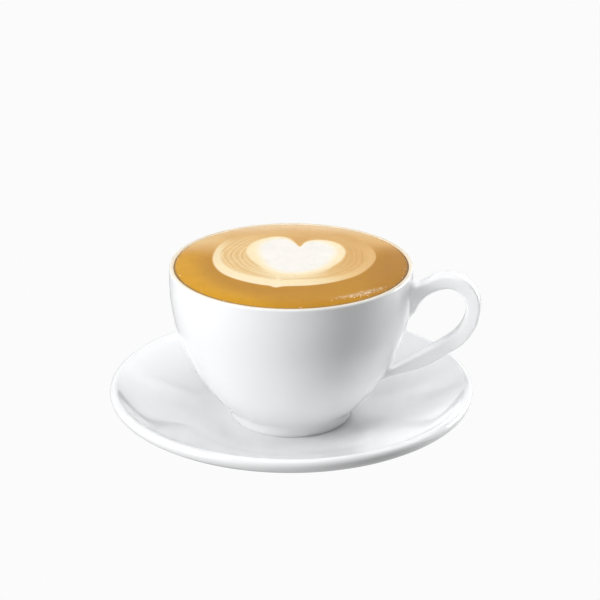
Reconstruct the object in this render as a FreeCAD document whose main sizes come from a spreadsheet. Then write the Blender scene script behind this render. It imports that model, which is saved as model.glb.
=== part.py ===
import FreeCAD, Part
import math
import os
import re

import Sketcher

# A cappuccino, filled to the brim, in a white porcelain cup on its saucer. Millimetres, +Z up.
# The origin is the middle of the circle on which the saucer's foot ring stands, on the axis that
# cup and saucer share. The handle points along +X.

SIZES = {
    # saucer
    "saucer_radius": 71.9,         # axis to the outside of the rolled rim
    "saucer_lip": 2.0,             # radius of the rolled rim
    "saucer_wall": 3.7,            # thickness of the sloping part
    "well_radius": 28.0,           # flat middle, on which the cup stands
    "well_height": 5.0,            # table to the top of the well
    "well_thickness": 3.8,         # porcelain under the well
    "slope_angle": 20.0,           # slope of the sloping part, degrees
    "slope_arc": 47.5,             # round between the well and the slope
    "rim_run": 9.0,                # width of the steeper stretch inside the rim
    "rim_rise": 2.77,              # its rise, up to the middle of the rolled rim
    "rim_arc": 26.0,               # its hollow round
    "rim_roll": 55.25,             # how far round the rolled rim meets it, degrees
    "under_rim_in": 0.4,           # underside: where it turns up into the rolled rim
    "under_rim_drop": 3.4,
    "under_rim_arc": 4.2,
    "under_arc": 14.0,             # underside: round below the steeper stretch
    "saucer_foot_radius": 35.0,    # outside of the saucer's foot ring
    "saucer_foot_width": 3.2,
    "saucer_foot_round": 0.5,
    "saucer_foot_draft": 0.3,      # the ring's inner wall leans by this much
    # cup
    "cup_radius": 47.4,            # outside of the straight wall below the lip
    "cup_height": 63.5,            # foot to the top of the lip
    "shoulder_drop": 6.5,          # lip down to where the bowl's arc meets the straight wall
    "lip_thickness": 2.0,
    "cup_foot_radius": 23.5,
    "cup_foot_height": 5.7,        # foot up to where the bowl's arc starts
    "cup_foot_width": 3.4,
    "foot_flare": 0.7,             # the foot ring widens by this much towards the bowl
    "foot_hollow": 1.9,            # hollow round between foot ring and bowl
    "foot_round": 0.6,
    "recess_depth": 2.0,           # hollow under the foot
    "floor_radius": 21.5,          # inside, where the bowl's arc meets the floor
    "floor_height": 7.0,
    # handle
    "handle_out": 13.7,            # cup wall to the middle of the bow
    "bow_drop": 13.75,             # lip down to the middle of the bow
    "bow_radius": 10.0,            # centre line of the bow
    "side_arc": 19.5,              # centre line of the outer side
    "side_turn": 50.0,             # degrees through which the outer side turns in
    "tail_height": 18.8,           # foot to where the tail meets the bowl
    "tail_sag": 1.1,               # how far the tail hangs below its chord
    "strap_thickness": 5.6,
    "strap_width": 7.0,
    "strap_corner": 1.3,           # rounding of the strap's edges
    "corner_share": 0.42,          # the most that it takes of a thin section's thickness
    # drink
    "fill_drop": 0.4,              # lip down to the edge of the drink, on the round of the lip
    "bead_width": 3.0,             # outer strip over which the surface bends down to the edge
    "bead_drop": 0.6,
    "bead_arc": 8.3,
    "crown": 0.25,                 # rise of the middle above the bent strip
    "foam_depth": 2.2,             # thickness of the poured foam below the edge's level
    "art_turn": 7.0,               # degrees by which the poured pattern is turned from the handle
}

doc = FreeCAD.newDocument("cappuccino")
sheet = doc.addObject("Spreadsheet::Sheet", "Sizes")
for row, (alias, number) in enumerate(SIZES.items(), start=1):
    sheet.set(f"A{row}", alias)
    sheet.set(f"B{row}", str(number))
    sheet.setAlias(f"B{row}", alias)
doc.recompute()


# ---------------------------------------------------------------- formulas, sketches and bodies

def bound(formula):
    """The formula with every alias pointed at the sheet, as other objects have to write it."""
    return re.sub(r"[a-z_]+", lambda found: "Sizes." + found[0] if found[0] in SIZES else found[0], formula)


def number(formula):
    """What the formula comes to with the sheet's present sizes."""
    return float(sheet.evalExpression(formula))


def origin_plane(body, role):
    """One of the body's own three planes."""
    return next(plane for plane in body.Origin.OriginFeatures if plane.Role == role)


def new_body(label, height="0"):
    """An empty body that stands at a height of its own."""
    body = doc.addObject("PartDesign::Body", label)
    body.Label = label
    body.Placement.Base = FreeCAD.Vector(0, 0, number(height))
    body.setExpression("Placement.Base.z", bound(height))
    return body


def arc_between(start, end, radius, side):
    """Arc from start to end that bulges to the right of travel (side 1) or to the left (side -1).

    Its middle lies on the far side of the chord, at the root of radius squared less half chord
    squared. Sketches hold arcs turning left, so the second value tells whether the arc runs on.
    """
    chord = end - start
    half = chord.Length / 2
    right = FreeCAD.Vector(chord.y, -chord.x, 0).normalize()
    centre = (start + end) * 0.5 - right * side * math.sqrt(max(radius ** 2 - half ** 2, 0))
    first, last = (start, end) if side == 1 else (end, start)
    angles = [math.atan2(point.y - centre.y, point.x - centre.x) for point in (first, last)]
    if angles[1] < angles[0]:
        angles[1] += 2 * math.pi
    circle = Part.Circle(centre, FreeCAD.Vector(0, 0, 1), radius)
    return Part.ArcOfCircle(circle, *angles), side == 1


def draw_outline(sketch, corners, edges):
    """Closed outline. Edge i joins corner i to the next: None is a line, (radius, side) an arc."""
    points = [FreeCAD.Vector(number(across), number(up), 0) for across, up in corners]
    ends = []
    for i, edge in enumerate(edges):
        start, end = points[i], points[(i + 1) % len(points)]
        if edge is None:
            item = sketch.addGeometry(Part.LineSegment(start, end), False)
            ends.append((item, 1, 2))
            continue
        radius, side = edge
        arc, onwards = arc_between(start, end, number(radius), side)
        item = sketch.addGeometry(arc, False)
        ends.append((item, 1, 2) if onwards else (item, 2, 1))
        rule = sketch.addConstraint(Sketcher.Constraint("Radius", item, number(radius)))
        sketch.setExpression(f"Constraints[{rule}]", bound(radius))
    for i, (item, first, last) in enumerate(ends):
        after, after_first, _ = ends[(i + 1) % len(ends)]
        sketch.addConstraint(Sketcher.Constraint("Coincident", item, last, after, after_first))
        for kind, formula, axis in (("DistanceX", corners[i][0], -2), ("DistanceY", corners[i][1], -1)):
            if formula == "0":
                sketch.addConstraint(Sketcher.Constraint("PointOnObject", item, first, axis))
                continue
            rule = sketch.addConstraint(Sketcher.Constraint(kind, -1, 1, item, first, number(formula)))
            sketch.setExpression(f"Constraints[{rule}]", bound(formula))


def body_sketch(body, name, role, corners, edges):
    """Outline on one of the body's planes."""
    sketch = body.newObject("Sketcher::SketchObject", name)
    sketch.AttachmentSupport = [(origin_plane(body, role), "")]
    sketch.MapMode = "FlatFace"
    draw_outline(sketch, corners, edges)
    return sketch


def revolve(body, name, corners, edges):
    """Full turn of an outline in the XZ plane about the body's Z axis."""
    sketch = body_sketch(body, name + "_outline", "XZ_Plane", corners, edges)
    turned = body.newObject("PartDesign::Revolution", name)
    turned.Profile = sketch
    turned.ReferenceAxis = (sketch, ["V_Axis"])
    turned.Angle = 360.0
    return turned


def tangent_arc(run, rise):
    """Radius of the arc that ends upright after going out by run and up by rise."""
    return f"(({run}) ^ 2 + ({rise}) ^ 2) / (2 * ({run}))"


# ------------------------------------------------------------------------------------- the cup

INNER_RADIUS = "cup_radius - lip_thickness"
SHOULDER = "(cup_height - shoulder_drop)"
LIP_RADIUS = "lip_thickness / 2"
LIP_MIDDLE = "cup_radius - lip_thickness / 2"
LIP_BASE = "cup_height - lip_thickness / 2"
FOOT_TOP = "cup_foot_radius + foot_flare"
BOWL_START = "cup_foot_radius + foot_flare + foot_hollow"
OUTER_ARC = tangent_arc(f"cup_radius - ({BOWL_START})", f"{SHOULDER} - cup_foot_height")
INNER_ARC = tangent_arc("cup_radius - lip_thickness - floor_radius", f"{SHOULDER} - floor_height")

cup = new_body("cup", "well_height")
revolve(cup, "bowl", [
    ("0", "recess_depth"),
    ("cup_foot_radius - cup_foot_width", "recess_depth"),
    ("cup_foot_radius - cup_foot_width", "0"),
    ("cup_foot_radius - foot_round", "0"),
    ("cup_foot_radius", "foot_round"),
    (FOOT_TOP, "cup_foot_height - foot_hollow"),
    (BOWL_START, "cup_foot_height"),
    ("cup_radius", SHOULDER),
    ("cup_radius", LIP_BASE),
    (LIP_MIDDLE, "cup_height"),
    (INNER_RADIUS, LIP_BASE),
    (INNER_RADIUS, SHOULDER),
    ("floor_radius", "floor_height"),
    ("0", "floor_height"),
], [
    None, None, None, ("foot_round", 1), None, ("foot_hollow", -1), (OUTER_ARC, 1), None,
    (LIP_RADIUS, 1), (LIP_RADIUS, 1), None, (INNER_ARC, -1), None, None,
])


# ---------------------------------------------------------------------------------- the handle
# A strap with rounded edges, lofted through sections along its centre line: a root that flares
# onto the wall, a bow, a wider side arc and a tail that thins out and runs into the bowl.

BOW_X = "(cup_radius + handle_out)"
BOW_Z = "(cup_height - bow_drop)"
SIDE_X = f"({BOW_X} + bow_radius - side_arc)"

# out from the wall as a share of handle_out, up from the bow's middle as a share of its radius,
# heading in degrees, thickness and width as shares of the strap's
ROOT = [
    (-0.116, 0.025, -5.6, 2.29, 1.25),
    (0.030, 0.140, 0.0, 2.02, 1.18),
    (0.100, 0.265, 3.0, 1.68, 1.10),
    (0.164, 0.390, 6.0, 1.38, 1.05),
    (0.302, 0.580, 12.5, 1.05, 1.0),
    (0.485, 0.755, 20.0, 0.94, 1.0),
]
BOW_ANGLES = [113.0, 90.0, 65.0, 40.0, 15.0]
SIDE_SHARES = [0.12, 0.42, 0.72, 1.0]
# share of the way down the tail, heading, thickness and width as shares of the strap's
TAIL = [
    (0.17, -143.0, 0.98, 1.0),
    (0.36, -147.0, 1.0, 1.0),
    (0.52, -150.0, 0.92, 1.0),
    (0.68, -153.0, 0.72, 1.0),
    (0.83, -155.0, 0.46, 1.0),
    (0.94, -156.0, 0.38, 1.0),
    (1.05, -156.0, 0.38, 1.05),
]


def bowl_radius(height):
    """Outside of the bowl at a height on its arc."""
    return f"(cup_radius - {OUTER_ARC} + sqrt(({OUTER_ARC}) ^ 2 - ({SHOULDER} - {height}) ^ 2))"


def strap_section(name, out, up, heading, thickness, width):
    """Rounded rectangle across the centre line; heading is the centre line's angle above +X."""
    section = cup.newObject("Sketcher::SketchObject", name)
    section.AttachmentSupport = [(origin_plane(cup, "YZ_Plane"), "")]
    section.MapMode = "FlatFace"
    turn = FreeCAD.Rotation(FreeCAD.Vector(-1, 0, 0), heading)
    section.AttachmentOffset = FreeCAD.Placement(FreeCAD.Vector(0, number(up), number(out)), turn)
    section.setExpression("AttachmentOffset.Base.y", bound(up))
    section.setExpression("AttachmentOffset.Base.z", bound(out))
    corner = f"min(strap_corner, corner_share * {thickness})"
    across, along = f"{width} / 2", f"{thickness} / 2"
    flat, upright = f"({across} - {corner})", f"({along} - {corner})"
    draw_outline(section, [
        (f"-{flat}", f"-{along}"), (flat, f"-{along}"),
        (across, f"-{upright}"), (across, upright),
        (flat, along), (f"-{flat}", along),
        (f"-{across}", upright), (f"-{across}", f"-{upright}"),
    ], [None, (corner, 1)] * 4)
    return section


sections = []
for share, lift, heading, thick, wide in ROOT:
    sections.append(strap_section(
        f"root_{len(sections)}", f"cup_radius + {share} * handle_out",
        f"{BOW_Z} + {lift} * bow_radius", heading,
        f"({thick} * strap_thickness)", f"({wide} * strap_width)"))
for angle in BOW_ANGLES:
    sections.append(strap_section(
        f"bow_{len(sections)}", f"{BOW_X} + bow_radius * cos({angle} deg)",
        f"{BOW_Z} + bow_radius * sin({angle} deg)", angle - 90.0,
        "strap_thickness", "strap_width"))
for share in SIDE_SHARES:
    turned = f"({share} * side_turn * 1 deg)"
    sections.append(strap_section(
        f"side_{len(sections)}", f"{SIDE_X} + side_arc * cos({turned})",
        f"{BOW_Z} - side_arc * sin({turned})", -90.0 - share * number("side_turn"),
        "strap_thickness", "strap_width"))
TAIL_X = f"({SIDE_X} + side_arc * cos(side_turn * 1 deg))"
TAIL_Z = f"({BOW_Z} - side_arc * sin(side_turn * 1 deg))"
for share, heading, thick, wide in TAIL:
    sag = f"4 * tail_sag * {share} * {1 - share}"
    sections.append(strap_section(
        f"tail_{len(sections)}", f"{TAIL_X} + {share} * ({bowl_radius('tail_height')} - {TAIL_X})",
        f"{TAIL_Z} + {share} * (tail_height - {TAIL_Z}) - {sag}", heading,
        f"({thick} * strap_thickness)", f"({wide} * strap_width)"))

handle = cup.newObject("PartDesign::AdditiveLoft", "handle")
handle.Profile = sections[0]
handle.Sections = sections[1:]
handle.Ruled = False


# ---------------------------------------------------------------------------------- the saucer
# Flat well, a round up into the slope, a steeper stretch and a rolled rim. The underside follows
# the slope at the wall's thickness down to the foot ring.

SLOPE_X = "(well_radius + slope_arc * sin(slope_angle * 1 deg))"
SLOPE_Z = "(well_height + slope_arc * (1 - cos(slope_angle * 1 deg)))"
TURN_X = "(saucer_radius - saucer_lip - rim_run)"
TURN_Z = f"({SLOPE_Z} + ({TURN_X} - {SLOPE_X}) * tan(slope_angle * 1 deg))"
RIM_X = "(saucer_radius - saucer_lip)"
RIM_Z = f"({TURN_Z} + rim_rise)"
WALL_X = "saucer_wall * sin(slope_angle * 1 deg)"
WALL_Z = "saucer_wall * cos(slope_angle * 1 deg)"
BELOW = "(well_height - well_thickness)"
FOOT_IN = "(saucer_foot_radius - saucer_foot_width)"

saucer = new_body("saucer")
revolve(saucer, "dish", [
    ("0", BELOW),
    (FOOT_IN, BELOW),
    (f"{FOOT_IN} + saucer_foot_draft", "0"),
    ("saucer_foot_radius - saucer_foot_round", "0"),
    ("saucer_foot_radius", "saucer_foot_round"),
    (f"{SLOPE_X} + {WALL_X}", f"{SLOPE_Z} - {WALL_Z}"),
    (f"{TURN_X} + {WALL_X}", f"{TURN_Z} - {WALL_Z}"),
    (f"{RIM_X} - under_rim_in", f"{RIM_Z} - under_rim_drop"),
    ("saucer_radius", RIM_Z),
    (RIM_X, f"{RIM_Z} + saucer_lip"),
    (f"{RIM_X} - saucer_lip * cos(rim_roll * 1 deg)", f"{RIM_Z} + saucer_lip * sin(rim_roll * 1 deg)"),
    (TURN_X, TURN_Z),
    (SLOPE_X, SLOPE_Z),
    ("well_radius", "well_height"),
    ("0", "well_height"),
], [
    None, None, None, ("saucer_foot_round", 1), None, None, ("under_arc", 1), ("under_rim_arc", 1),
    ("saucer_lip", 1), ("saucer_lip", 1), ("rim_arc", -1), None, ("slope_arc", -1), None, None,
])


# ----------------------------------------------------------------------------------- the drink
# It fills the cup to the round of the lip and stands slightly above it. Two areas of poured
# foam lie in its surface: a heart and the band that sweeps round it.

FILL_LEVEL = "(cup_height - fill_drop)"
EDGE_RADIUS = f"({LIP_MIDDLE} - sqrt(({LIP_RADIUS}) ^ 2 - ({FILL_LEVEL} - ({LIP_BASE})) ^ 2))"
BEAD_START = f"({EDGE_RADIUS} - bead_width)"
CROWN_ARC = f"(({BEAD_START}) ^ 2 + crown ^ 2) / (2 * crown)"

drink = new_body("drink_form", "well_height")
revolve(drink, "filling", [
    ("0", "floor_height"),
    ("floor_radius", "floor_height"),
    (INNER_RADIUS, SHOULDER),
    (INNER_RADIUS, LIP_BASE),
    (EDGE_RADIUS, FILL_LEVEL),
    (BEAD_START, f"{FILL_LEVEL} + bead_drop"),
    ("0", f"{FILL_LEVEL} + bead_drop + crown"),
], [
    None, (INNER_ARC, 1), None, (LIP_RADIUS, -1), ("bead_arc", 1), (CROWN_ARC, 1), None,
])

# Heart: notch, left lobe, left flank down to the tip, right flank, right lobe.
HEART = [
    ("3.5", "17.6"), ("1.6", "24.3"), ("-18.3", "13.6"), ("-5.0", "-16.9"), ("21.4", "11.7"), ("6.0", "22.8"),
]
HEART_EDGES = [("9.0", 1), ("12.0", 1), ("40.0", 1), ("25.5", 1), ("10.3", 1), ("7.0", 1)]

# Band: outer flank down to its tip, outer flank up the right, inner side back.
BAND = [("-26.6", "24.1"), ("-5.4", "-26.5"), ("32.2", "13.1"), ("2.2", "-19.8"), ("-24.7", "23.5")]
BAND_EDGES = [("33.0", 1), ("33.0", 1), ("30.2", -1), ("30.2", -1), None]


def foam_prism(name, corners, edges):
    """The outline drawn down into the drink and up out of it, turned with the pattern."""
    sketch = doc.addObject("Sketcher::SketchObject", name + "_outline")
    draw_outline(sketch, corners, edges)
    prism = doc.addObject("Part::Extrusion", name + "_prism")
    prism.Base = sketch
    prism.DirMode = "Custom"
    prism.Dir = FreeCAD.Vector(0, 0, 1)
    length = "foam_depth + 2 * (bead_drop + crown)"
    prism.LengthFwd = number(length)
    prism.setExpression("LengthFwd", bound(length))
    prism.Solid = True
    bottom = f"well_height + {FILL_LEVEL} - foam_depth"
    turn = FreeCAD.Rotation(FreeCAD.Vector(0, 0, 1), number("art_turn"))
    sketch.Placement = FreeCAD.Placement(FreeCAD.Vector(0, 0, number(bottom)), turn)
    sketch.setExpression("Placement.Base.z", bound(bottom))
    return prism


heart_prism = foam_prism("heart", HEART, HEART_EDGES)
band_prism = foam_prism("band", BAND, BAND_EDGES)


def foam(label, prism):
    """The part of the drink that lies inside a foam outline."""
    common = doc.addObject("Part::Common", label)
    common.Label = label
    common.Base = drink
    common.Tool = prism
    return common


foam_heart = foam("foam_heart", heart_prism)
foam_band = foam("foam_band", band_prism)

foams = doc.addObject("Part::Fuse", "both_foams")
foams.Base = heart_prism
foams.Tool = band_prism
coffee = doc.addObject("Part::Cut", "coffee")
coffee.Label = "coffee"
coffee.Base = drink
coffee.Tool = foams


# -------------------------------------------------------------------------- check and write out

doc.recompute()
for item in doc.Objects:
    if {"Invalid", "Error"} & set(item.State):
        raise RuntimeError(f"{item.Name} failed: {item.State}")

os.makedirs("parts", exist_ok=True)
for part in (saucer, cup, coffee, foam_heart, foam_band):
    shape = part.Shape
    if shape.isNull() or not shape.isValid() or not shape.Solids:
        raise RuntimeError(f"{part.Label} has no sound shape")
    print(part.Label, "solids", len(shape.Solids), "volume ml", round(shape.Volume / 1000, 2))
for part in (saucer, cup, coffee, foam_heart, foam_band):
    part.Shape.exportStep(f"parts/{part.Label}.step")
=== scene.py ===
# %% [markdown]
# # A cappuccino in a porcelain cup
# A cup filled to the brim stands on its saucer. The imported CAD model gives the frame: five named
# solids with their true places and sizes. This lesson dresses that frame. Every new piece is a
# surface worked out with numpy, and every finish is a small tree of procedural nodes.

# %% Load the frame
import math

import bpy
import numpy as np
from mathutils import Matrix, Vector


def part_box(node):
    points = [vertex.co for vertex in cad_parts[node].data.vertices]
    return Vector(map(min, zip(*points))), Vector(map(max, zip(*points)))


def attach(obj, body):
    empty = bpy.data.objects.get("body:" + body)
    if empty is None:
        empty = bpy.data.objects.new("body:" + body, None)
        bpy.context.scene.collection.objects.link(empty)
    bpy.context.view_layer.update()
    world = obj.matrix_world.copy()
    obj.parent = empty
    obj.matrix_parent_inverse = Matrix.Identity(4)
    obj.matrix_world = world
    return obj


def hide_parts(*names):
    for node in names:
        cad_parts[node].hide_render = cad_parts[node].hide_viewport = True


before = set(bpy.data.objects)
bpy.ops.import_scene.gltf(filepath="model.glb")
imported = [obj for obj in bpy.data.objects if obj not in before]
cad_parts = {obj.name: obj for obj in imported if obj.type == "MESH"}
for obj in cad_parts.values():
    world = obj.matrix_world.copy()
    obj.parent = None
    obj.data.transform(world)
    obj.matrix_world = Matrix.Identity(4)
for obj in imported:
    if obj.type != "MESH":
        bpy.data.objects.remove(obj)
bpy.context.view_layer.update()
print("frame nodes:", sorted(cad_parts))

# %% [markdown]
# ## Sizes
# The boxes of the solids say how wide and how high things are. The thicknesses and rounds that a
# box can't say are named here once, in millimetres, and every surface below is built from them.

# %% Sizes from the frame
MM = 0.001


def box_mm(node):
    """Lowest and highest corner of a solid, in millimetres."""
    low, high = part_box(node)
    return np.array(low) / MM, np.array(high) / MM


cup_low, cup_high = box_mm("cup")
saucer_high = box_mm("saucer")[1]
drink_low, drink_high = box_mm("coffee")

CUP_RADIUS = -cup_low[0]
CUP_FOOT = cup_low[2]
CUP_TOP = cup_high[2]
CUP_HEIGHT = CUP_TOP - CUP_FOOT
SAUCER_RADIUS = saucer_high[0]
SAUCER_TOP = saucer_high[2]
DRINK_FLOOR = drink_low[2]
DRINK_TOP = drink_high[2]
print("cup radius", round(CUP_RADIUS, 2), "mm, cup height", round(CUP_HEIGHT, 2), "mm")
print("saucer radius", round(SAUCER_RADIUS, 2), "mm, drink up to", round(DRINK_TOP, 2), "mm")

# %% [markdown]
# ## Camera
# A long lens far away keeps the ellipse of the rim calm, where a near camera would make the front
# bulge. The camera stands a little to the side of the handle's square view and looks down by
# 22 degrees. It comes first, so that every later step can be looked at.

# %% Camera
SIDE_ANGLE = 7.0
LOOK_DOWN = 21.98
LENS_MM = 120.0
SENSOR_MM = 36.0
CAMERA_DISTANCE = 781.8
TARGET_SIDE = 3.4
TARGET_UP = 48.33


def studio(side, depth, height):
    """A place in metres from steps to the camera's right, away from it and up from the cup's foot.

    The camera's square frame is turned by SIDE_ANGLE about the cup's axis:
    x = side cos a - depth sin a, y = side sin a + depth cos a.
    """
    turn = math.radians(SIDE_ANGLE)
    return ((side * math.cos(turn) - depth * math.sin(turn)) * MM,
            (side * math.sin(turn) + depth * math.cos(turn)) * MM,
            (height + CUP_FOOT) * MM)


def look_from(thing, place, target):
    """Puts a camera or lamp at a place, with its -Z axis towards the target."""
    direction = np.array(target) - np.array(place)
    flat = math.hypot(direction[0], direction[1])
    thing.location = place
    thing.rotation_euler = (math.atan2(flat, -direction[2]), 0.0,
                            math.atan2(-direction[0], direction[1]))


tilt = math.radians(LOOK_DOWN)
camera_data = bpy.data.cameras.new("camera")
camera_data.lens = LENS_MM
camera_data.sensor_width = SENSOR_MM
camera = bpy.data.objects.new("camera", camera_data)
bpy.context.scene.collection.objects.link(camera)
camera_back = -CAMERA_DISTANCE * math.cos(tilt)
camera_up = TARGET_UP + CAMERA_DISTANCE * math.sin(tilt)
look_from(camera, studio(TARGET_SIDE, camera_back, camera_up), studio(TARGET_SIDE, 0.0, TARGET_UP))
bpy.context.scene.camera = camera
print("camera at", [round(value, 3) for value in camera.location])

# %% [markdown]
# ## Light
# Glazed porcelain shows its form by how light falls off round it and by what it reflects. A tall
# soft lamp on the left is the key. The cup turns away from it towards the right, which gives the
# grey stripe right of its middle, and a low lamp behind on the right brings the edge back out of
# the stripe. Smaller lamps above and behind open the saucer and the lip. One narrow lamp reaches
# the handle alone, which the key would leave grey. The white table throws light up from below, so
# the world is bright under the horizon and dim above it. The balance is made for this camera: from
# the right and from behind, the side that faces the lamps goes nearly white.

# %% Table glow and lamps
scene = bpy.context.scene
scene.view_settings.view_transform = "Standard"
scene.view_settings.look = "None"

TABLE_GLOW = 0.47
CEILING_GLOW = 0.05
HORIZON_BLUR = 0.06
LAMP_DISTANCE = 1.2
SNOOT_WATTS = 25.0
SNOOT_ANGLE = 3.4
SNOOT_BLEND = 0.7
SNOOT_SIZE = 0.03
SNOOT_PLACE = (420.0, -1050.0, 200.0)
SNOOT_TARGET = (65.0, 0.0, 36.0)

world = bpy.data.worlds.new("studio_air")
scene.world = world
world.use_nodes = True
tree = world.node_tree
direction = tree.nodes.new("ShaderNodeTexCoord")
parts = tree.nodes.new("ShaderNodeSeparateXYZ")
glow = tree.nodes.new("ShaderNodeMapRange")
glow.inputs["From Min"].default_value = -HORIZON_BLUR
glow.inputs["From Max"].default_value = HORIZON_BLUR
glow.inputs["To Min"].default_value = TABLE_GLOW
glow.inputs["To Max"].default_value = CEILING_GLOW
tree.links.new(direction.outputs["Generated"], parts.inputs["Vector"])
tree.links.new(parts.outputs["Z"], glow.inputs["Value"])
tree.links.new(glow.outputs["Result"], tree.nodes["Background"].inputs["Strength"])
tree.nodes["Background"].inputs["Color"].default_value = (1.0, 1.0, 1.0, 1.0)


def soft_lamp(name, azimuth, elevation, width, height, watts):
    """Rectangular lamp, sized in metres, on a sphere of LAMP_DISTANCE round the cup.

    Its place is (cos e sin a, -cos e cos a, sin e) times the distance, with the azimuth a counted
    to the right from the camera's side and the elevation e upwards.
    """
    a, e = math.radians(azimuth), math.radians(elevation)
    data = bpy.data.lights.new(name, "AREA")
    data.shape = "RECTANGLE"
    data.size = width
    data.size_y = height
    data.energy = watts
    lamp = bpy.data.objects.new(name, data)
    scene.collection.objects.link(lamp)
    away = LAMP_DISTANCE / MM
    place = studio(away * math.cos(e) * math.sin(a), -away * math.cos(e) * math.cos(a), away * math.sin(e))
    look_from(lamp, place, studio(0.0, 0.0, CUP_HEIGHT / 2))
    lamp.visible_camera = False


soft_lamp("key_left", -60.0, 23.0, 0.5, 1.1, 15.3)
soft_lamp("above", -10.0, 74.0, 0.6, 0.5, 3.4)
soft_lamp("low_right", 121.0, 6.0, 0.6, 0.45, 15.5)
soft_lamp("side_above", 112.0, 55.0, 0.5, 0.5, 2.9)
soft_lamp("back_above", 180.0, 80.0, 0.8, 0.6, 2.4)
soft_lamp("back_wide", 175.0, 20.0, 1.4, 0.5, 2.2)

snoot = bpy.data.lights.new("handle_snoot", "SPOT")
snoot.energy = SNOOT_WATTS
snoot.spot_size = math.radians(SNOOT_ANGLE)
snoot.spot_blend = SNOOT_BLEND
snoot.shadow_soft_size = SNOOT_SIZE
handle_lamp = bpy.data.objects.new("handle_snoot", snoot)
scene.collection.objects.link(handle_lamp)
look_from(handle_lamp, studio(*SNOOT_PLACE), studio(*SNOOT_TARGET))

# %% [markdown]
# ## Making a mesh from arrays
# One helper turns arrays into a mesh. Others number the quads of a grid, close the two ends of a
# tube with a point each, and carry a profile round the upright axis. A surface made of them has
# no open seam or pole.

# %% Mesh helpers
def mesh_piece(name, points, quads, triangles=None):
    """Object at the origin from points in millimetres and arrays of corner numbers."""
    data = bpy.data.meshes.new(name)
    triangles = np.zeros((0, 3), int) if triangles is None else triangles
    corners = np.concatenate([quads.ravel(), triangles.ravel()]).astype(np.int32)
    sizes = np.concatenate([np.full(len(quads), 4), np.full(len(triangles), 3)]).astype(np.int32)
    data.vertices.add(len(points))
    data.vertices.foreach_set("co", (points * MM).astype(np.float32).ravel())
    data.loops.add(len(corners))
    data.loops.foreach_set("vertex_index", corners)
    data.polygons.add(len(sizes))
    data.polygons.foreach_set("loop_start", (np.cumsum(sizes) - sizes).astype(np.int32))
    data.update(calc_edges=True)
    data.polygons.foreach_set("use_smooth", np.ones(len(sizes), bool))
    data.validate()
    piece = bpy.data.objects.new(name, data)
    bpy.context.scene.collection.objects.link(piece)
    print(name, len(points), "points", len(quads) * 2 + len(triangles), "triangles")
    return piece


def grid_quads(rows, columns, wrap):
    """Corner numbers of a rows x columns grid's quads; wrap joins the last column to the first."""
    number = np.arange(rows * columns).reshape(rows, columns)
    after = np.roll(number, -1, axis=1)
    if not wrap:
        number, after = number[:, :-1], after[:, :-1]
    return np.stack([number[:-1], after[:-1], after[1:], number[1:]], axis=-1).reshape(-1, 4)


def end_fans(first_pole, last_pole, last_ring, around):
    """Triangles that close a tube: ring 0 to one pole, and the ring that starts at last_ring to the other."""
    here = np.arange(around)
    after = np.roll(here, -1)
    return np.concatenate([
        np.stack([np.full(around, first_pole), after, here], axis=-1),
        np.stack([np.full(around, last_pole), last_ring + here, last_ring + after], axis=-1)])


def turned(name, profile, steps):
    """Surface of revolution: x = r cos a, y = r sin a, z = h for each (r, h) of the profile.

    The profile starts and ends on the axis. It runs up the outside and back down the inside, so
    that the faces look outwards.
    """
    angle = np.arange(steps) * 2 * math.pi / steps
    rings = profile[1:-1]
    points = np.stack([rings[:, :1] * np.cos(angle), rings[:, :1] * np.sin(angle),
                       np.repeat(rings[:, 1:], steps, axis=1)], axis=-1).reshape(-1, 3)
    poles = np.array([[0.0, 0.0, profile[0, 1]], [0.0, 0.0, profile[-1, 1]]])
    fans = end_fans(len(points), len(points) + 1, len(points) - steps, steps)
    return mesh_piece(name, np.concatenate([points, poles]), grid_quads(len(rings), steps, True), fans)


# %% [markdown]
# ## Profiles from lines and arcs
# A potter's profile is a run of straight lines and arcs. The helper walks round the corners and
# fills each edge with evenly spaced points, so the same few sizes give a coarse or a fine surface.

# %% Profile helper
ARC_STEP = 0.12


def edge_points(start, end, radius, side, spacing):
    """Points from start up to, but not including, end: a line, or an arc of that radius.

    The arc's middle lies on the chord's normal, at the root of radius squared less half chord
    squared. Side 1 bulges to the right of travel and side -1 to the left. No step along an arc
    is longer than the spacing or turns by more than ARC_STEP radians.
    """
    start, end = np.array(start, float), np.array(end, float)
    chord = end - start
    length = np.hypot(*chord)
    if radius is None:
        count = max(int(math.ceil(length / spacing)), 1)
        return start + chord * (np.arange(count) / count)[:, None]
    right = np.array([chord[1], -chord[0]]) / length
    middle = (start + end) / 2 - right * side * math.sqrt(max(radius ** 2 - length ** 2 / 4, 0.0))
    opening = 2 * math.asin(min(length / 2 / radius, 1.0))
    count = max(int(math.ceil(radius * opening / spacing)), int(math.ceil(opening / ARC_STEP)), 1)
    first = math.atan2(start[1] - middle[1], start[0] - middle[0])
    angle = first + side * opening * np.arange(count) / count
    return middle + radius * np.stack([np.cos(angle), np.sin(angle)], axis=-1)


def outline(corners, edges, spacing):
    """Points along an open run of corners; edge i joins corner i to the next."""
    runs = [edge_points(start, end, *(edge or (None, 0)), spacing)
            for start, end, edge in zip(corners, corners[1:], edges)]
    return np.concatenate(runs + [np.array([corners[-1]], float)])


def tangent_arc(run, rise):
    """Radius of the arc that ends upright after going out by run and up by rise."""
    return (run ** 2 + rise ** 2) / (2 * run)


# %% [markdown]
# ## The cup's bowl
# The bowl is thrown or cast and then glazed, so it is one closed wall: up the outside from the
# foot ring, over the round lip and down the inside to the floor. Below the lip the wall is
# straight and both arcs run into it upright. A profile turned about the axis gives this with
# fewer sizes than a sculpted shape, and each size can be changed by itself.

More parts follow.
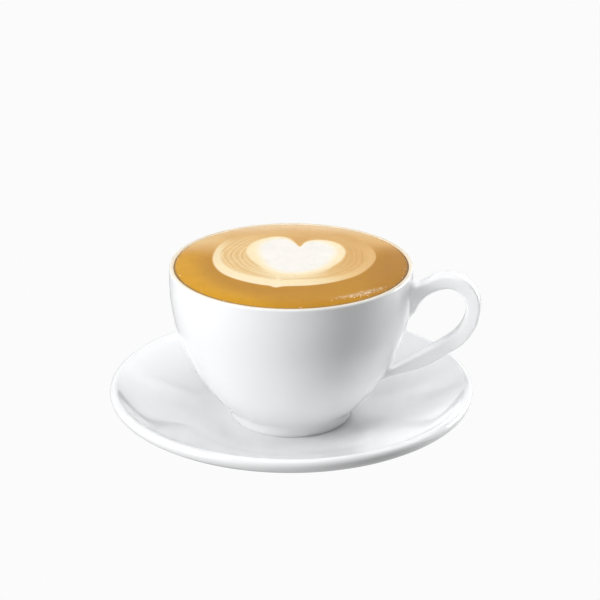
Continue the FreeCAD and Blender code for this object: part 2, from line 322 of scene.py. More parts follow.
# %% Bowl
LIP_THICKNESS = 2.0
SHOULDER_DROP = 6.5
FOOT_RADIUS = 23.5
FOOT_HEIGHT = 5.7
FOOT_WIDTH = 3.4
FOOT_FLARE = 0.7
FOOT_HOLLOW = 1.9
FOOT_BLEND = 5.5
FOOT_ROUND = 0.6
RECESS_DEPTH = 2.0
FLOOR_RADIUS = 21.5
AROUND = 288
PROFILE_STEP = 1.6

floor_height = DRINK_FLOOR - CUP_FOOT
shoulder = CUP_HEIGHT - SHOULDER_DROP
lip_radius = LIP_THICKNESS / 2
lip_middle = CUP_RADIUS - lip_radius
inner_radius = CUP_RADIUS - LIP_THICKNESS
bowl_start = FOOT_RADIUS + FOOT_FLARE + FOOT_HOLLOW
outer_arc = tangent_arc(CUP_RADIUS - bowl_start, shoulder - FOOT_HEIGHT)
inner_arc = tangent_arc(inner_radius - FLOOR_RADIUS, shoulder - floor_height)

# The glaze fills the corner above the foot ring with an arc that leaves the ring upright and runs
# on into the wall without a crease.
wall_lean = math.asin((shoulder - FOOT_HEIGHT) / outer_arc)
reach = FOOT_BLEND * math.tan(wall_lean / 2)
ring_x = FOOT_RADIUS + FOOT_FLARE
corner_z = FOOT_HEIGHT - FOOT_HOLLOW / math.tan(wall_lean)
blend_start = (ring_x, corner_z - reach)
blend_end = (ring_x + reach * math.sin(wall_lean), corner_z + reach * math.cos(wall_lean))

ring_inside = FOOT_RADIUS - FOOT_WIDTH
bowl_profile = outline([
    (0, RECESS_DEPTH), (ring_inside, RECESS_DEPTH), (ring_inside + FOOT_ROUND, 0),
    (FOOT_RADIUS - FOOT_ROUND, 0), (FOOT_RADIUS, FOOT_ROUND), blend_start, blend_end,
    (CUP_RADIUS, shoulder), (CUP_RADIUS, CUP_HEIGHT - lip_radius), (lip_middle, CUP_HEIGHT),
    (inner_radius, CUP_HEIGHT - lip_radius), (inner_radius, shoulder), (FLOOR_RADIUS, floor_height),
    (0, floor_height),
], [
    None, None, None, (FOOT_ROUND, 1), None, (FOOT_BLEND, -1), (outer_arc, 1), None,
    (lip_radius, 1), (lip_radius, 1), None, (inner_arc, -1), None,
], PROFILE_STEP)
bowl = turned("bowl", bowl_profile + [0, CUP_FOOT], AROUND)


def wall_radius(height):
    """Outside of the bowl at heights above the foot: an arc below the shoulder, then straight.

    On the arc, r = R - a + square root of (a squared - (shoulder - height) squared), where R is
    the cup's radius and a the arc's.
    """
    below = np.minimum(height, shoulder)
    return CUP_RADIUS - outer_arc + np.sqrt(outer_arc ** 2 - (shoulder - below) ** 2)


# %% [markdown]
# ## The saucer
# A saucer is pressed over a turned mould, so the same way gives it: foot ring, underside, rolled
# rim, the hollow stretch inside it, the slope and the well on which the cup stands.

# %% Saucer
SAUCER_LIP = 2.0
SAUCER_WALL = 3.7
WELL_RADIUS = 28.0
WELL_THICKNESS = 3.8
SLOPE_ANGLE = math.radians(20.0)
SLOPE_ARC = 47.5
RIM_RUN = 9.0
RIM_ARC = 26.0
RIM_ROLL = math.radians(55.25)
SAUCER_FOOT_RADIUS = 35.0
SAUCER_FOOT_WIDTH = 3.2
SAUCER_FOOT_ROUND = 0.5
UNDER_RIM = (0.4, 3.4)
UNDER_RIM_ARC = 4.2
UNDER_ARC = 14.0

rim_x, rim_z = SAUCER_RADIUS - SAUCER_LIP, SAUCER_TOP - SAUCER_LIP
slope_x = WELL_RADIUS + SLOPE_ARC * math.sin(SLOPE_ANGLE)
slope_z = CUP_FOOT + SLOPE_ARC * (1 - math.cos(SLOPE_ANGLE))
turn_x = rim_x - RIM_RUN
turn_z = slope_z + (turn_x - slope_x) * math.tan(SLOPE_ANGLE)
wall_x, wall_z = SAUCER_WALL * math.sin(SLOPE_ANGLE), SAUCER_WALL * math.cos(SLOPE_ANGLE)
underside = CUP_FOOT - WELL_THICKNESS
saucer_ring_inside = SAUCER_FOOT_RADIUS - SAUCER_FOOT_WIDTH

saucer_profile = outline([
    (0, underside), (saucer_ring_inside, underside), (saucer_ring_inside + SAUCER_FOOT_ROUND, 0),
    (SAUCER_FOOT_RADIUS - SAUCER_FOOT_ROUND, 0), (SAUCER_FOOT_RADIUS, SAUCER_FOOT_ROUND),
    (slope_x + wall_x, slope_z - wall_z), (turn_x + wall_x, turn_z - wall_z),
    (rim_x - UNDER_RIM[0], rim_z - UNDER_RIM[1]), (SAUCER_RADIUS, rim_z), (rim_x, SAUCER_TOP),
    (rim_x - SAUCER_LIP * math.cos(RIM_ROLL), rim_z + SAUCER_LIP * math.sin(RIM_ROLL)),
    (turn_x, turn_z), (slope_x, slope_z), (WELL_RADIUS, CUP_FOOT), (0, CUP_FOOT),
], [
    None, None, None, (SAUCER_FOOT_ROUND, 1), None, None, (UNDER_ARC, 1), (UNDER_RIM_ARC, 1),
    (SAUCER_LIP, 1), (SAUCER_LIP, 1), (RIM_ARC, -1), None, (SLOPE_ARC, -1), None,
], PROFILE_STEP)
dish = turned("dish", saucer_profile, AROUND)

# %% [markdown]
# ## The handle
# The handle is a cast strap, thick at its root and thin where its tail runs into the bowl. It
# could be bent from one section, but it changes along its way, so it is carried along a centre
# line. Stations on the line say where it is, which way it heads and how thick and wide it is.

# %% Handle stations
HANDLE_OUT = 13.7
BOW_DROP = 13.75
BOW_RADIUS = 10.0
SIDE_ARC = 19.5
SIDE_TURN = 50.0
TAIL_HEIGHT = 18.8
TAIL_SAG = 1.1
STRAP_THICKNESS = 5.6
STRAP_WIDTH = 7.0
STRAP_CORNER = 1.3
CORNER_SHARE = 0.42

bow_x, bow_z = CUP_RADIUS + HANDLE_OUT, CUP_HEIGHT - BOW_DROP
side_x = bow_x + BOW_RADIUS - SIDE_ARC
tail_x = side_x + SIDE_ARC * math.cos(math.radians(SIDE_TURN))
tail_z = bow_z - SIDE_ARC * math.sin(math.radians(SIDE_TURN))
tail_run = float(wall_radius(np.array(TAIL_HEIGHT))) - tail_x

# out from the wall as a share of HANDLE_OUT, up from the bow's middle as a share of its radius,
# heading in degrees, thickness and width as shares of the strap's
root = np.array([
    (-0.116, 0.025, -5.6, 2.29, 1.25), (0.030, 0.140, 0.0, 2.02, 1.18),
    (0.100, 0.265, 3.0, 1.68, 1.10), (0.164, 0.390, 6.0, 1.38, 1.05),
    (0.302, 0.580, 12.5, 1.05, 1.0), (0.485, 0.755, 20.0, 0.94, 1.0)])
bow_angle = np.array([113.0, 90.0, 65.0, 40.0, 15.0])
side_angle = SIDE_TURN * np.array([0.12, 0.42, 0.72, 1.0])
# share of the way down the tail, heading, thickness and width as shares of the strap's
tail = np.array([
    (0.17, -143.0, 0.98, 1.0), (0.36, -147.0, 1.0, 1.0), (0.52, -150.0, 0.92, 1.0),
    (0.68, -153.0, 0.72, 1.0), (0.83, -155.0, 0.46, 1.0), (0.94, -156.0, 0.38, 1.0),
    (1.05, -156.0, 0.38, 1.05)])


def along(angle, radius, middle_x, middle_z, heading):
    """Stations of full strap size on an arc; the heading is square to the radius."""
    a = np.radians(angle)
    return np.stack([middle_x + radius * np.cos(a), middle_z + radius * np.sin(a), heading,
                     np.ones_like(a), np.ones_like(a)], axis=-1)


down = tail[:, 0]
sag = 4 * TAIL_SAG * down * (1 - down)
stations = np.concatenate([
    np.column_stack([CUP_RADIUS + root[:, 0] * HANDLE_OUT, bow_z + root[:, 1] * BOW_RADIUS, root[:, 2:]]),
    along(bow_angle, BOW_RADIUS, bow_x, bow_z, bow_angle - 90.0),
    along(-side_angle, SIDE_ARC, side_x, bow_z, -90.0 - side_angle),
    np.column_stack([tail_x + down * tail_run, tail_z + down * (TAIL_HEIGHT - tail_z) - sag, tail[:, 1:]]),
])
print("handle stations:", len(stations))

# %% [markdown]
# ## Rings of the handle
# A smooth curve through the stations gives as many rings as the surface needs. Each ring is a
# rectangle with rounded corners, because a cast strap is flat inside and out and soft at its edges.

# %% Handle surface
STEPS_BETWEEN = 12
HANDLE_AROUND = 64


def smooth_through(rows, count):
    """Catmull-Rom curve through the rows, count points to a gap.

    Between rows b and c, with a before and d after, the value at t from 0 to 1 is
    (2b + (c - a) t + (2a - 5b + 4c - d) t^2 + (3b - a - 3c + d) t^3) / 2.
    """
    padded = np.concatenate([[2 * rows[0] - rows[1]], rows, [2 * rows[-1] - rows[-2]]])
    a, b, c, d = (padded[i:len(padded) - 3 + i, None, :] for i in range(4))
    t = (np.arange(count) / count)[None, :, None]
    inside = (2 * b + (c - a) * t + (2 * a - 5 * b + 4 * c - d) * t ** 2
              + (3 * b - a - 3 * c + d) * t ** 3) / 2
    return np.concatenate([inside.reshape(-1, rows.shape[1]), rows[-1:]])


def strap_rings(rows, around):
    """Rounded rectangles across a line: corner middles plus a circle's points for each corner.

    Each row is x, z, heading in degrees, thickness share and width share.
    """
    heading = np.radians(rows[:, 2])[:, None]
    thick = rows[:, 3][:, None] * STRAP_THICKNESS / 2
    wide = rows[:, 4][:, None] * STRAP_WIDTH / 2
    corner = np.minimum(STRAP_CORNER, CORNER_SHARE * 2 * thick)
    a = (np.arange(around) + 0.5) * 2 * math.pi / around
    lift = (thick - corner) * np.sign(np.sin(a)) + corner * np.sin(a)
    across = (wide - corner) * np.sign(np.cos(a)) + corner * np.cos(a)
    return np.stack([rows[:, :1] - np.sin(heading) * lift, across,
                     rows[:, 1:2] + np.cos(heading) * lift], axis=-1)


rings = strap_rings(smooth_through(stations, STEPS_BETWEEN), HANDLE_AROUND) + [0, 0, CUP_FOOT]
print("handle rings:", len(rings))

# %% [markdown]
# ## Where the handle meets the wall
# A handle is stuck on with slip and the glaze softens the joint, so it runs into the wall with a
# small hollow. Pushing the strap through the wall would leave a hard crease instead. So every line
# along the strap is cut where it comes within that hollow's size of the wall, and from there a
# curve carries it down to the wall and a little way along it.

# %% Handle joints
ROOT_HOLLOW, TAIL_HOLLOW = 2.0, 1.3
WALL_SINK = 0.12
SLOPE_STEP = 0.1
STRAP_RINGS = 130
line_number = np.arange(HANDLE_AROUND)


def passing(table, level):
    """Fractional step along each line where its distance from the wall first exceeds the level."""
    gap = np.hypot(table[..., 0], table[..., 1]) - wall_radius(table[..., 2] - CUP_FOOT)
    step = np.argmax(gap > level, axis=0)
    there, before = gap[step, line_number], gap[step - 1, line_number]
    return step - (there - level) / (there - before)


def at_step(table, step):
    """Points between rings: the two rings beside the step, weighted by how near they are."""
    low = np.floor(step).astype(int)
    share = (step - low)[..., None]
    return table[low, line_number] * (1 - share) + table[low + 1, line_number] * share


def hollow(near, at_wall, size, steps=7):
    """Curve (1-t)^2 near + 2t(1-t) at_wall + t^2 far.

    The far point lies WALL_SINK inside the wall's surface, at the given size from the joint's
    edge and square to it.
    """
    height = at_wall[:, 2] - CUP_FOOT
    lean = (wall_radius(height + SLOPE_STEP) - wall_radius(height - SLOPE_STEP)) / (2 * SLOPE_STEP)
    facing = np.column_stack([at_wall[:, :2] / np.hypot(at_wall[:, 0], at_wall[:, 1])[:, None], -lean])
    edge = np.roll(at_wall, -1, axis=0) - np.roll(at_wall, 1, axis=0)
    away = np.cross(edge, facing)
    away = away * np.sign(np.sum(away * (at_wall - at_wall.mean(axis=0)), axis=1))[:, None]
    far = at_wall + size * away / np.linalg.norm(away, axis=1)[:, None]
    reach = (wall_radius(far[:, 2] - CUP_FOOT) - WALL_SINK) / np.hypot(far[:, 0], far[:, 1])
    far = far * np.column_stack([reach, reach, np.ones_like(reach)])
    t = np.linspace(0, 1, steps)[:, None, None]
    return (1 - t) ** 2 * near + 2 * t * (1 - t) * at_wall + t ** 2 * far


backwards = rings[::-1]
root_step = passing(rings, ROOT_HOLLOW)
tail_step = len(rings) - 1 - passing(backwards, TAIL_HOLLOW)
share = np.linspace(0, 1, STRAP_RINGS)[:, None]
strap = at_step(rings, root_step + (tail_step - root_step) * share)
root_curve = hollow(strap[0], at_step(rings, passing(rings, 0.0)), ROOT_HOLLOW)
tail_curve = hollow(strap[-1], at_step(backwards, passing(backwards, 0.0)), TAIL_HOLLOW)
skin = np.concatenate([root_curve[:0:-1], strap, tail_curve[1:]])

middles = np.stack([skin[0].mean(axis=0), skin[-1].mean(axis=0)])
count = len(skin) * HANDLE_AROUND
caps = end_fans(count, count + 1, count - HANDLE_AROUND, HANDLE_AROUND)
handle = mesh_piece("handle", np.concatenate([skin.reshape(-1, 3), middles]),
                    grid_quads(len(skin), HANDLE_AROUND, True), caps)

# %% [markdown]
# ## The drink's surface
# A cup filled to the brim holds its drink by surface tension: it stands slightly above the rim and
# bends down to meet it. Rings round a middle would crowd their points there, so a square grid is
# drawn out into a disc instead. Its points are evenly spaced, and a pattern can be stored on them.

# %% Drink surface
FILL_DROP = 0.4
BEAD_WIDTH = 8.0
BEAD_POWER = 2.4
CROWN = 0.18
GRID = 250

lip_reach = math.sqrt(lip_radius ** 2 - (lip_radius - FILL_DROP) ** 2)
edge_radius = lip_middle - lip_reach
edge_height = CUP_TOP - FILL_DROP


def drink_height(radius):
    """Height of the surface: a crown that falls with the square of the radius, less a bead.

    The bead takes off what is left of the rise times its way to the edge, from 0 to 1, to the
    power BEAD_POWER.
    """
    rise = DRINK_TOP - edge_height
    way = np.clip((radius - edge_radius + BEAD_WIDTH) / BEAD_WIDTH, 0.0, 1.0)
    return DRINK_TOP - CROWN * (radius / edge_radius) ** 2 - (rise - CROWN) * way ** BEAD_POWER


u, v = np.meshgrid(np.linspace(-1, 1, GRID + 1), np.linspace(-1, 1, GRID + 1))
disc_x = edge_radius * u * np.sqrt(1 - v ** 2 / 2)
disc_y = edge_radius * v * np.sqrt(1 - u ** 2 / 2)
disc_r = np.hypot(disc_x, disc_y)
surface = np.stack([disc_x, disc_y, drink_height(disc_r)], axis=-1)
print("drink surface", surface.shape, "edge radius", round(edge_radius, 2), "mm")

# %% [markdown]
# ## The poured pattern
# A barista pours milk foam into the crema. It pushes rings ahead of it, leaves a pale band where
# it first broke through, and a white heart where the last foam landed; the final pull through the
# middle draws the notch above and the small point below. All of it is one number at each point of
# the surface: how much milk is there. Distances and angles are taken from the pour's middle.

# %% Milk share
POUR = (1.5, 8.5)
RING_GAP = 2.1


def ramp(value, start, end):
    """0 before start, 1 after end, and smooth in between: t squared times (3 - 2t)."""
    t = np.clip((value - start) / (end - start), 0.0, 1.0)
    return t * t * (3 - 2 * t)


def around_table(angle, table):
    """Value at an angle in degrees from a short table of (angle, value), smooth round the circle.

    Between two rows it is a cubic with the slopes that the neighbouring rows give:
    (2t^3 - 3t^2 + 1) low + (t^3 - 2t^2 + t) m0 + (3t^2 - 2t^3) high + (t^3 - t^2) m1.
    """
    knots = np.array(sorted(table), float)
    knots = np.concatenate([knots[-2:] - [360, 0], knots, knots[:2] + [360, 0]])
    slope = (knots[2:, 1] - knots[:-2, 1]) / (knots[2:, 0] - knots[:-2, 0])
    index = np.clip(np.searchsorted(knots[:, 0], angle) - 1, 1, len(knots) - 3)
    gap = knots[index + 1, 0] - knots[index, 0]
    t = (angle - knots[index, 0]) / gap
    low, high = knots[index, 1], knots[index + 1, 1]
    m0, m1 = slope[index - 1] * gap, slope[index] * gap
    return ((2 * t ** 3 - 3 * t ** 2 + 1) * low + (t ** 3 - 2 * t ** 2 + t) * m0
            + (3 * t ** 2 - 2 * t ** 3) * high + (t ** 3 - t ** 2) * m1)


# Tables of (angle, value) round the pour's middle: the edge of the white heart, the edge of the
# cream round it, the outer edge, width and strength of the band, and the milk among the rings
CORE = [(-182, 13.0), (-154, 12.9), (-127, 15.7), (-101, 18.6), (-76, 17.8), (-42, 15.4),
        (-14, 14.3), (16, 16.1), (40, 17.6), (61, 17.4), (71, 14.6), (79, 11.5), (88, 14.0),
        (96, 16.6), (112, 19.4), (133, 18.2), (162, 14.2)]
CREAM = [(-175, 18.6), (-151, 17.9), (-131, 19.1), (-107, 21.8), (-86, 22.0), (-59, 20.6),
         (-36, 19.4), (-11, 19.2), (13, 20.5), (30, 21.4), (51, 21.3), (64, 19.6), (72, 17.2),
         (80, 14.0), (87, 15.6), (95, 18.8), (107, 22.3), (120, 23.0), (139, 22.0), (167, 20.0)]
BAND_EDGE = [(-180, 32.3), (-153, 33.7), (-133, 34.2), (-112, 33.9), (-106.5, 33.8), (-102, 34.9),
             (-97.5, 33.3), (-84, 32.7), (-60, 32.5), (-31, 32.0), (-3, 31.5), (40, 31.0),
             (90, 31.0), (149, 32.0)]
BAND_WIDTH = [(-180, 3.0), (-153, 4.4), (-134, 5.6), (-108, 6.4), (-88, 6.2), (-60, 4.6),
              (-31, 3.6), (10, 4.0), (90, 4.0), (150, 2.4)]
BAND_MILK = [(-180, 0.64), (-150, 0.72), (-125, 0.77), (-95, 0.72), (-72, 0.60), (-50, 0.44), (-25, 0.35),
             (5, 0.31), (25, 0.25), (50, 0.22), (100, 0.2), (140, 0.32), (152, 0.46), (165, 0.58)]
RING_MILK = [(-180, 0.42), (-150, 0.45), (-125, 0.52), (-100, 0.62), (-75, 0.54), (-50, 0.36), (-20, 0.27),
             (15, 0.25), (40, 0.27), (70, 0.27), (110, 0.32), (140, 0.40)]
RING_DEPTH = [(-180, 0.11), (-150, 0.10), (-120, 0.08), (-90, 0.08), (-50, 0.06), (0, 0.05), (40, 0.04),
              (90, 0.0), (125, 0.02), (150, 0.09)]


def toward(value, goal, share):
    """Value moved towards the goal by a share from 0 to 1."""
    return value + (goal - value) * share


def milk_share(x, y):
    """How much milk lies at a point, from 0 in pure crema to 1 in the heart.

    Layers from the outside in: stirred crema, the disc of rings, the band, the cream, the heart.
    Each layer starts where the distance from the pour's middle passes its edge at that angle.
    """
    away = np.hypot(x - POUR[0], y - POUR[1])
    angle = np.degrees(np.arctan2(y - POUR[1], x - POUR[0]))
    turn_by = np.radians(angle)
    sway = (0.5 * np.sin(3 * turn_by + 0.7) + 0.35 * np.sin(7 * turn_by - 0.16 * away)
            + 0.25 * np.sin(11 * turn_by + 0.3 * away))
    inside = around_table(angle, BAND_EDGE) + 0.25 * sway - away
    width = around_table(angle, BAND_WIDTH)
    past_core = away - around_table(angle, CORE)
    past_cream = away - around_table(angle, CREAM) - 0.3 * sway

    # the far side, where the pour began, is stirred and its band left open
    open_top = ramp(angle, 25, 60) * (1 - ramp(angle, 128, 152))
    # the milk rises towards the far side: partly stirred milk, partly painted sheen, most at the far edge
    milk = 0.26 * ramp(y, 4, 28) + 0.16 * ramp(y, 34, 44)
    milk = milk + 0.20 * ramp(-x - 0.4 * y, 4, 30) * ramp(y, 2, 30)
    milk = milk + 0.08 * ramp(x, 12, 30) * ramp(y, 14, 34)
    entry = toward(ramp(inside, -0.4, 0.6), ramp(inside, -5.0, 6.0), open_top)
    milk = toward(milk, around_table(angle, RING_MILK), entry)
    band = ramp(inside, -0.35, 0.55) * (1 - ramp(inside, width - 0.8, width + 1.0))
    band = band * (1 - 0.8 * open_top)
    milk = toward(milk, around_table(angle, BAND_MILK), band)

    # rings: two sets of ripples, whose sum is never quite regular
    phase = 2 * math.pi * (away + 0.7 * sway) / RING_GAP
    ripple = 0.55 * np.sin(phase) + 0.45 * np.sin(1.61 * phase + 2.4 * np.sin(2 * turn_by) + sway)
    among = ramp(past_cream, -2.4, 0.6) * ramp(inside, 0.2, 1.6) * (1 - 0.7 * band)
    milk = milk + around_table(angle, RING_DEPTH) * ripple * among
    crease = np.exp(-((away - 25.6 - 0.5 * sway) / 0.75) ** 2)
    milk = milk - 0.11 * (crease * ramp(angle, -165, -140) * (1 - ramp(angle, -70, -25)))

    # the cream softens towards the front, its edge is paler on the right, and the heart lies in it
    soft = 0.5 + 2.2 * ramp(-y, 2, 14)
    milk = toward(milk, 0.72, 1 - ramp(past_cream, -0.5 - soft, soft))
    cream_line = np.exp(-((past_cream + 3.0) / 0.5) ** 2) * ramp(np.cos(turn_by), 0.2, 0.8)
    milk = toward(milk, 0.62, 0.5 * cream_line)
    milk = toward(milk, 1.0, 1 - ramp(past_core, -2.2, 4.4))

    # the last pull: a pale line out of the point, and the notch above
    pull = np.exp(-((x + 4.7 + 0.05 * (y + 20)) / 0.8) ** 2)
    pull = pull * ramp(y, -25, -22) * (1 - ramp(y, -15, -11))
    milk = toward(milk, 0.84, 0.5 * pull)
    wedge_width = 0.25 + 0.30 * np.clip(y - 17.3, 0, None) ** 1.12
    wedge = 1 - ramp(np.abs(x - 3.4 + 0.03 * (y - 17)), wedge_width * 0.5, wedge_width * 1.3)
    return toward(milk, 0.22, wedge * ramp(y, 16.5, 19.5) * (1 - ramp(y, 26, 33)))


art_turn = math.radians(SIDE_ANGLE)
art_x = disc_x * math.cos(art_turn) + disc_y * math.sin(art_turn)
art_y = -disc_x * math.sin(art_turn) + disc_y * math.cos(art_turn)
milk = milk_share(art_x, art_y)
print("milk share from", round(float(milk.min()), 3), "to", round(float(milk.max()), 3))

# %% [markdown]
# ## Tones of the crema
# Pure crema isn't one colour. It is golden on the left, brown on the right, and dull where the band
# pushed it aside. The colour at each point is mixed from a few named tones: first by the milk share,
# then, where there is little milk, by place. Light is painted in too: a pale sheen on the far edge,
# a pale highlight with the froth streak at the front right, and a thin dark line of painted shade
# where the crema meets the glaze, which fades out towards the back.

# %% Crema tones
HAZEL = (0.52, 0.245, 0.022)
GOLD = (0.68, 0.335, 0.018)
AMBER = (0.55, 0.26, 0.016)
UMBER = (0.43, 0.195, 0.026)
# tone of the painted sheen on the far edge of the drink
BACK_SHEEN = (0.84, 0.60, 0.36)
TONES = [(0.0, HAZEL), (0.22, (0.69, 0.39, 0.13)), (0.30, (0.73, 0.445, 0.165)),
         (0.42, (0.80, 0.54, 0.24)), (0.60, (0.89, 0.72, 0.43)), (0.76, (0.97, 0.80, 0.52)),
         (0.90, (0.94, 0.86, 0.70)), (1.0, (0.92, 0.885, 0.83))]
# colour of the painted shade line where the crema meets the glaze
EDGE_SHADE_COLOUR = (0.24, 0.145, 0.065)
# pale froth tone, which also stands in for a painted highlight on the streak
FROTH_HIGHLIGHT = (0.93, 0.74, 0.52)
STREAK_X, STREAK_Y = 26.3, -31.8
STREAK_ALONG = (0.86, 0.51)
STREAK_BEND = 0.010


def mixed(base, tone, share):
    """Colours moved towards one tone by a share at each point."""
    return base + (np.array(tone) - base) * share[..., None]


def froth_highlight_share(x, y):
    """Share of loose bubbles and of a painted highlight on them: a short curved streak near the edge,
    strongest in its middle.

    It is exp(-(off / 1.3)^2) times exp(-(along / 9.5)^3), with both distances in millimetres.
    """
    c, s = STREAK_ALONG
    along_streak = (x - STREAK_X) * c + (y - STREAK_Y) * s
    off_streak = (y - STREAK_Y) * c - (x - STREAK_X) * s - STREAK_BEND * along_streak ** 2
    return np.exp(-(off_streak / 1.3) ** 2) * np.exp(-(np.abs(along_streak) / 9.5) ** 3)


def drink_colour(x, y, radius, milk):
    """Colour at each point: a ramp of tones by milk share, then the tones of the place."""
    places = [place for place, _ in TONES]
    ramped = np.stack([np.interp(milk, places, [tone[i] for _, tone in TONES]) for i in range(3)],
                      axis=-1)
    plain = 1 - ramp(milk, 0.05, 0.30)
    left = ramp(-x - 0.55 * y, 12, 46) * ramp(radius, 30, 41)
    right = ramp(x - 0.5 * np.clip(y, 0, None) - 0.12 * np.clip(-y - 6, 0, None), 20, 38)
    front = ramp(-y + 0.3 * x, 26, 40)
    ramped = mixed(ramped, GOLD, 0.95 * left * plain)
    ramped = mixed(ramped, AMBER, 0.5 * front * (1 - left) * plain)
    ramped = mixed(ramped, UMBER, 0.75 * right * plain)
    # painted sheen: the far edge of the drink turns pale peach
    ramped = mixed(ramped, BACK_SHEEN, 0.75 * ramp(y + 0.12 * np.abs(x), 32, 45))
    # painted shade: a thin dark line where the crema meets the glaze, fading out towards the back
    edge_shade = ramp(radius, edge_radius - 1.1, edge_radius - 0.2) * (1 - 0.95 * ramp(y, 0, 28))
    ramped = mixed(ramped, EDGE_SHADE_COLOUR, 0.9 * edge_shade)
    fleck = 0.5 + 0.25 * np.sin(5.1 * x + 1.7 * y) + 0.25 * np.sin(3.3 * y - 4.4 * x + 1.0)
    # pale froth along the streak, standing in too for a painted highlight
    return mixed(ramped, FROTH_HIGHLIGHT, 0.55 * froth_highlight_share(x, y) * fleck)


colour = drink_colour(art_x, art_y, disc_r, milk)
print("mean colour of the drink", colour.reshape(-1, 3).mean(axis=0).round(3))

# %% [markdown]
# ## Closing the drink
# The drink fills the cup down to its floor, so it is a solid body and no sheet. The border of the
# disc is carried down the inside of the bowl ring by ring, and a fan closes it on the floor.

# %% Drink piece
SKIRT_STEP = 7.0

border = np.concatenate([np.arange(GRID), np.arange(GRID) * (GRID + 1) + GRID,
                         (GRID + 1) ** 2 - 1 - np.arange(GRID), (GRID - np.arange(GRID)) * (GRID + 1)])
skirt_profile = outline([
    (edge_radius, edge_height - CUP_FOOT), (inner_radius, CUP_HEIGHT - lip_radius), (inner_radius, shoulder),
    (FLOOR_RADIUS, floor_height)], [(lip_radius, 1), None, (inner_arc, -1)], SKIRT_STEP)[1:]
skirt_profile = skirt_profile + [0, CUP_FOOT]
rim_points = surface.reshape(-1, 3)[border]
outwards = rim_points[:, :2] / np.hypot(rim_points[:, 0], rim_points[:, 1])[:, None]
skirt = np.concatenate([skirt_profile[:, None, :1] * outwards,
                        np.repeat(skirt_profile[:, None, 1:], len(border), axis=1)], axis=-1)
top_count = (GRID + 1) ** 2
skirt_rows, skirt_count = len(skirt), len(skirt) * len(border)
skirt_numbers = np.concatenate([border[None], top_count + np.arange(skirt_count).reshape(skirt_rows, -1)])
next_numbers = np.roll(skirt_numbers, -1, axis=1)
skirt_quads = np.stack([skirt_numbers[:-1], skirt_numbers[1:], next_numbers[1:], next_numbers[:-1]],
                       axis=-1).reshape(-1, 4)
base_number = top_count + skirt_count
base_fan = np.stack([np.full(len(border), base_number), next_numbers[-1], skirt_numbers[-1]], axis=-1)
drink = mesh_piece(
    "drink",
    np.concatenate([surface.reshape(-1, 3), skirt.reshape(-1, 3), [[0, 0, DRINK_FLOOR]]]),
    np.concatenate([grid_quads(GRID + 1, GRID + 1, False), skirt_quads]), base_fan)


def store_colour(piece, values, rest):
    """Writes a colour for each point as the attribute pour_colour.

    The values are those of the first points, and all points after them get the rest's colour.
    """
    colours = np.ones((len(piece.data.vertices), 4), np.float32)
    colours[:, :3] = rest
    colours[:len(values), :3] = values
    layer = piece.data.attributes.new("pour_colour", "FLOAT_COLOR", "POINT")
    layer.data.foreach_set("color", colours.ravel())


store_colour(drink, colour.reshape(-1, 3), HAZEL)

# %% [markdown]
# ## Loose bubbles
# Milk that is poured fast leaves bubbles, and they drift to the edge. A few hundred small ones
# stand on the crema, most in a streak and the rest along the wall. A bump would show them only
# from above, so each is a low dome of a few dozen faces. All are made in one step, by adding one
# unit dome, scaled, to every place. None stands higher than the drink's own top.

# %% Bubbles
STREAK_BUBBLES, WALL_BUBBLES = 260, 120
DOME_AROUND, DOME_RINGS = 10, 3
DOME_SINK = 0.15
DOME_STAND = 0.86
POLE_DEPTH = 0.4

rng = np.random.default_rng(11)
streak_cos, streak_sin = STREAK_ALONG
along_spot = rng.normal(0.0, 5.6, STREAK_BUBBLES)
off_spot = rng.normal(0.0, 0.85, STREAK_BUBBLES)
off_spot = off_spot + STREAK_BEND * along_spot ** 2
streak_x = STREAK_X + streak_cos * along_spot - streak_sin * off_spot
streak_y = STREAK_Y + streak_sin * along_spot + streak_cos * off_spot
wall_angle = rng.uniform(-math.pi, math.pi, WALL_BUBBLES)
wall_reach = edge_radius - 0.5 - np.abs(rng.normal(0.0, 0.7, WALL_BUBBLES))
spot_x = np.concatenate([streak_x, wall_reach * np.cos(wall_angle)])
spot_y = np.concatenate([streak_y, wall_reach * np.sin(wall_angle)])
size = np.concatenate([rng.uniform(0.10, 0.34, STREAK_BUBBLES), rng.uniform(0.08, 0.24, WALL_BUBBLES)])
kept = np.hypot(spot_x, spot_y) + size < edge_radius - 0.1
spot_x, spot_y, size = spot_x[kept], spot_y[kept], size[kept]

# unit dome: rings at height sin(e) and radius cos(e), closed by a point on top and one underneath
rise_angle = np.linspace(-0.35, 1.2, DOME_RINGS)
dome_angle = np.arange(DOME_AROUND) * 2 * math.pi / DOME_AROUND
unit_rings = np.stack([np.outer(np.cos(rise_angle), np.cos(dome_angle)),
                       np.outer(np.cos(rise_angle), np.sin(dome_angle)),
                       np.repeat(np.sin(rise_angle)[:, None], DOME_AROUND, axis=1)], axis=-1)
dome = np.concatenate([unit_rings.reshape(-1, 3), [[0.0, 0.0, 1.0], [0.0, 0.0, -POLE_DEPTH]]])
ring_points = DOME_RINGS * DOME_AROUND
dome_fans = end_fans(ring_points + 1, ring_points, ring_points - DOME_AROUND, DOME_AROUND)

place_x = spot_x * math.cos(art_turn) - spot_y * math.sin(art_turn)
place_y = spot_y * math.cos(art_turn) + spot_x * math.sin(art_turn)
spot_z = drink_height(np.hypot(spot_x, spot_y))
size = np.minimum(size, (DRINK_TOP - spot_z) / DOME_STAND)
places = np.stack([place_x, place_y, spot_z - DOME_SINK * size], axis=-1)
first = (np.arange(len(places)) * len(dome))[:, None, None]
bubbles = mesh_piece("bubbles", (places[:, None, :] + dome[None] * size[:, None, None]).reshape(-1, 3),
                     (grid_quads(DOME_RINGS, DOME_AROUND, True)[None] + first).reshape(-1, 4),
                     (dome_fans[None] + first).reshape(-1, 3))

